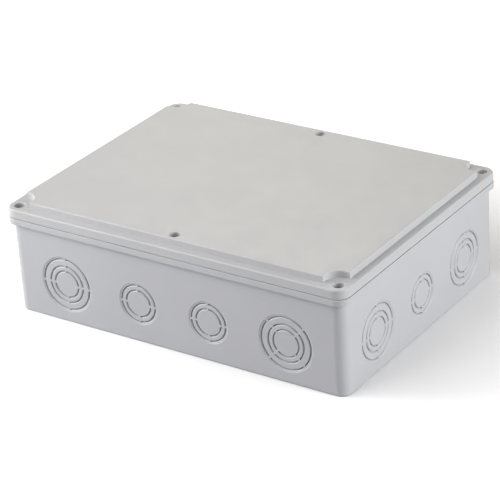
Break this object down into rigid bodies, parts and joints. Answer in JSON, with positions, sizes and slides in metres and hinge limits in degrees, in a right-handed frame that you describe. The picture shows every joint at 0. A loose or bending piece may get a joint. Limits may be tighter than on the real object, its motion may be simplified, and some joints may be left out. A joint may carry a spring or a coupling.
{
  "type": "electrical junction box",
  "caption": "Rectangular plastic junction box with ringed knockouts in every side, a raised screw-down lid over a seal, and a terminal rail on a steel plate inside.",
  "frame": {"origin": "centre of the underside", "axes": "+X along the long side, -Y is the front long side, +Z from the wall towards the lid"},
  "size_m": [0.4, 0.3, 0.1226],
  "materials": {
    "base_plastic": "fine moulded texture, cool light grey",
    "lid_plastic": "fine moulded texture, warm light grey",
    "seal_rubber": "foamed rubber cord",
    "insert_brass": "turned brass",
    "screw_zinc": "zinc-plated steel",
    "cage_steel": "zinc-plated steel",
    "galvanised_sheet": "galvanised sheet with a faint spangle",
    "rail_zinc": "zinc-plated, passivated",
    "busbar_copper": "bare copper",
    "terminal_grey": "moulded polyamide",
    "terminal_green_yellow": "green body with yellow bands",
    "washer_nylon": "black nylon"
  },
  "bodies": {
    "base": {"base_shell": "base_plastic", "threaded_inserts": "insert_brass", "fixing_hole_caps": "base_plastic", "mounting_plate": "galvanised_sheet", "plate_screws": "screw_zinc", "earth_bolt": "insert_brass", "earth_nuts": "insert_brass", "earth_washers": "screw_zinc", "din_rail": "rail_zinc", "rail_screws": "screw_zinc", "rail_nuts": "screw_zinc", "end_stops": "terminal_grey", "end_stop_screws": "screw_zinc", "terminal_housings": "terminal_grey", "earth_terminal_housing": "terminal_green_yellow", "terminal_busbars": "busbar_copper"},
    "lid": {"lid": "lid_plastic", "lid_gasket": "seal_rubber"},
    "lid_screw_1_washer": {"retaining_washer_1": "washer_nylon"},
    "lid_screw_1": {"lid_screw_1": "screw_zinc"},
    "lid_screw_2_washer": {"retaining_washer_2": "washer_nylon"},
    "lid_screw_2": {"lid_screw_2": "screw_zinc"},
    "lid_screw_3_washer": {"retaining_washer_3": "washer_nylon"},
    "lid_screw_3": {"lid_screw_3": "screw_zinc"},
    "lid_screw_4_washer": {"retaining_washer_4": "washer_nylon"},
    "lid_screw_4": {"lid_screw_4": "screw_zinc"},
    "lid_screw_5_washer": {"retaining_washer_5": "washer_nylon"},
    "lid_screw_5": {"lid_screw_5": "screw_zinc"},
    "lid_screw_6_washer": {"retaining_washer_6": "washer_nylon"},
    "lid_screw_6": {"lid_screw_6": "screw_zinc"},
    "clamp_screw_1": {"clamp_screw_1": "screw_zinc"},
    "clamp_cage_1": {"clamp_cage_1": "cage_steel"},
    "clamp_screw_2": {"clamp_screw_2": "screw_zinc"},
    "clamp_cage_2": {"clamp_cage_2": "cage_steel"},
    "clamp_screw_3": {"clamp_screw_3": "screw_zinc"},
    "clamp_cage_3": {"clamp_cage_3": "cage_steel"},
    "clamp_screw_4": {"clamp_screw_4": "screw_zinc"},
    "clamp_cage_4": {"clamp_cage_4": "cage_steel"},
    "clamp_screw_5": {"clamp_screw_5": "screw_zinc"},
    "clamp_cage_5": {"clamp_cage_5": "cage_steel"},
    "clamp_screw_6": {"clamp_screw_6": "screw_zinc"},
    "clamp_cage_6": {"clamp_cage_6": "cage_steel"},
    "clamp_screw_7": {"clamp_screw_7": "screw_zinc"},
    "clamp_cage_7": {"clamp_cage_7": "cage_steel"},
    "clamp_screw_8": {"clamp_screw_8": "screw_zinc"},
    "clamp_cage_8": {"clamp_cage_8": "cage_steel"}
  },
  "joints": [
    {"name": "lid_lift", "type": "slide", "parent": "base", "child": "lid", "axis": [0, 0, 1], "range_m": [0, 0.12]},
    {"name": "lid_screw_1_rise", "type": "slide", "parent": "lid", "child": "lid_screw_1_washer", "axis": [0, 0, 1], "range_m": [0, 0.0096]},
    {"name": "lid_screw_1_turn", "type": "hinge", "parent": "lid_screw_1_washer", "child": "lid_screw_1", "pos_m": [-0.188, -0.138, 0.1], "axis": [0, 0, 1], "range_deg": [0, 4320]},
    {"name": "lid_screw_2_rise", "type": "slide", "parent": "lid", "child": "lid_screw_2_washer", "axis": [0, 0, 1], "range_m": [0, 0.0096]},
    {"name": "lid_screw_2_turn", "type": "hinge", "parent": "lid_screw_2_washer", "child": "lid_screw_2", "pos_m": [-0.188, 0.138, 0.1], "axis": [0, 0, 1], "range_deg": [0, 4320]},
    {"name": "lid_screw_3_rise", "type": "slide", "parent": "lid", "child": "lid_screw_3_washer", "axis": [0, 0, 1], "range_m": [0, 0.0096]},
    {"name": "lid_screw_3_turn", "type": "hinge", "parent": "lid_screw_3_washer", "child": "lid_screw_3", "pos_m": [0.188, -0.138, 0.1], "axis": [0, 0, 1], "range_deg": [0, 4320]},
    {"name": "lid_screw_4_rise", "type": "slide", "parent": "lid", "child": "lid_screw_4_washer", "axis": [0, 0, 1], "range_m": [0, 0.0096]},
    {"name": "lid_screw_4_turn", "type": "hinge", "parent": "lid_screw_4_washer", "child": "lid_screw_4", "pos_m": [0.188, 0.138, 0.1], "axis": [0, 0, 1], "range_deg": [0, 4320]},
    {"name": "lid_screw_5_rise", "type": "slide", "parent": "lid", "child": "lid_screw_5_washer", "axis": [0, 0, 1], "range_m": [0, 0.0096]},
    {"name": "lid_screw_5_turn", "type": "hinge", "parent": "lid_screw_5_washer", "child": "lid_screw_5", "pos_m": [0, -0.1324, 0.1], "axis": [0, 0, 1], "range_deg": [0, 4320]},
    {"name": "lid_screw_6_rise", "type": "slide", "parent": "lid", "child": "lid_screw_6_washer", "axis": [0, 0, 1], "range_m": [0, 0.0096]},
    {"name": "lid_screw_6_turn", "type": "hinge", "parent": "lid_screw_6_washer", "child": "lid_screw_6", "pos_m": [0, 0.1324, 0.1], "axis": [0, 0, 1], "range_deg": [0, 4320]},
    {"name": "clamp_screw_1_turn", "type": "hinge", "parent": "base", "child": "clamp_screw_1", "pos_m": [-0.024, -0.019, 0.06], "axis": [0, 0, -1], "range_deg": [0, 3150]},
    {"name": "clamp_cage_1_rise", "type": "slide", "parent": "base", "child": "clamp_cage_1", "axis": [0, 0, 1], "range_m": [0, 0.007]},
    {"name": "clamp_screw_2_turn", "type": "hinge", "parent": "base", "child": "clamp_screw_2", "pos_m": [-0.024, 0.019, 0.06], "axis": [0, 0, -1], "range_deg": [0, 3150]},
    {"name": "clamp_cage_2_rise", "type": "slide", "parent": "base", "child": "clamp_cage_2", "axis": [0, 0, 1], "range_m": [0, 0.007]},
    {"name": "clamp_screw_3_turn", "type": "hinge", "parent": "base", "child": "clamp_screw_3", "pos_m": [-0.008, -0.019, 0.06], "axis": [0, 0, -1], "range_deg": [0, 3150]},
    {"name": "clamp_cage_3_rise", "type": "slide", "parent": "base", "child": "clamp_cage_3", "axis": [0, 0, 1], "range_m": [0, 0.007]},
    {"name": "clamp_screw_4_turn", "type": "hinge", "parent": "base", "child": "clamp_screw_4", "pos_m": [-0.008, 0.019, 0.06], "axis": [0, 0, -1], "range_deg": [0, 3150]},
    {"name": "clamp_cage_4_rise", "type": "slide", "parent": "base", "child": "clamp_cage_4", "axis": [0, 0, 1], "range_m": [0, 0.007]},
    {"name": "clamp_screw_5_turn", "type": "hinge", "parent": "base", "child": "clamp_screw_5", "pos_m": [0.008, -0.019, 0.06], "axis": [0, 0, -1], "range_deg": [0, 3150]},
    {"name": "clamp_cage_5_rise", "type": "slide", "parent": "base", "child": "clamp_cage_5", "axis": [0, 0, 1], "range_m": [0, 0.007]},
    {"name": "clamp_screw_6_turn", "type": "hinge", "parent": "base", "child": "clamp_screw_6", "pos_m": [0.008, 0.019, 0.06], "axis": [0, 0, -1], "range_deg": [0, 3150]},
    {"name": "clamp_cage_6_rise", "type": "slide", "parent": "base", "child": "clamp_cage_6", "axis": [0, 0, 1], "range_m": [0, 0.007]},
    {"name": "clamp_screw_7_turn", "type": "hinge", "parent": "base", "child": "clamp_screw_7", "pos_m": [0.024, -0.019, 0.06], "axis": [0, 0, -1], "range_deg": [0, 3150]},
    {"name": "clamp_cage_7_rise", "type": "slide", "parent": "base", "child": "clamp_cage_7", "axis": [0, 0, 1], "range_m": [0, 0.007]},
    {"name": "clamp_screw_8_turn", "type": "hinge", "parent": "base", "child": "clamp_screw_8", "pos_m": [0.024, 0.019, 0.06], "axis": [0, 0, -1], "range_deg": [0, 3150]},
    {"name": "clamp_cage_8_rise", "type": "slide", "parent": "base", "child": "clamp_cage_8", "axis": [0, 0, 1], "range_m": [0, 0.007]}
  ],
  "couplings": [
    {"joint": "lid_screw_1_turn", "follows": "lid_screw_1_rise", "rad_per_m": 7854},
    {"joint": "lid_screw_2_turn", "follows": "lid_screw_2_rise", "rad_per_m": 7854},
    {"joint": "lid_screw_3_turn", "follows": "lid_screw_3_rise", "rad_per_m": 7854},
    {"joint": "lid_screw_4_turn", "follows": "lid_screw_4_rise", "rad_per_m": 7854},
    {"joint": "lid_screw_5_turn", "follows": "lid_screw_5_rise", "rad_per_m": 7854},
    {"joint": "lid_screw_6_turn", "follows": "lid_screw_6_rise", "rad_per_m": 7854},
    {"joint": "clamp_screw_1_turn", "follows": "clamp_cage_1_rise", "rad_per_m": 7854},
    {"joint": "clamp_screw_2_turn", "follows": "clamp_cage_2_rise", "rad_per_m": 7854},
    {"joint": "clamp_screw_3_turn", "follows": "clamp_cage_3_rise", "rad_per_m": 7854},
    {"joint": "clamp_screw_4_turn", "follows": "clamp_cage_4_rise", "rad_per_m": 7854},
    {"joint": "clamp_screw_5_turn", "follows": "clamp_cage_5_rise", "rad_per_m": 7854},
    {"joint": "clamp_screw_6_turn", "follows": "clamp_cage_6_rise", "rad_per_m": 7854},
    {"joint": "clamp_screw_7_turn", "follows": "clamp_cage_7_rise", "rad_per_m": 7854},
    {"joint": "clamp_screw_8_turn", "follows": "clamp_cage_8_rise", "rad_per_m": 7854}
  ]
}
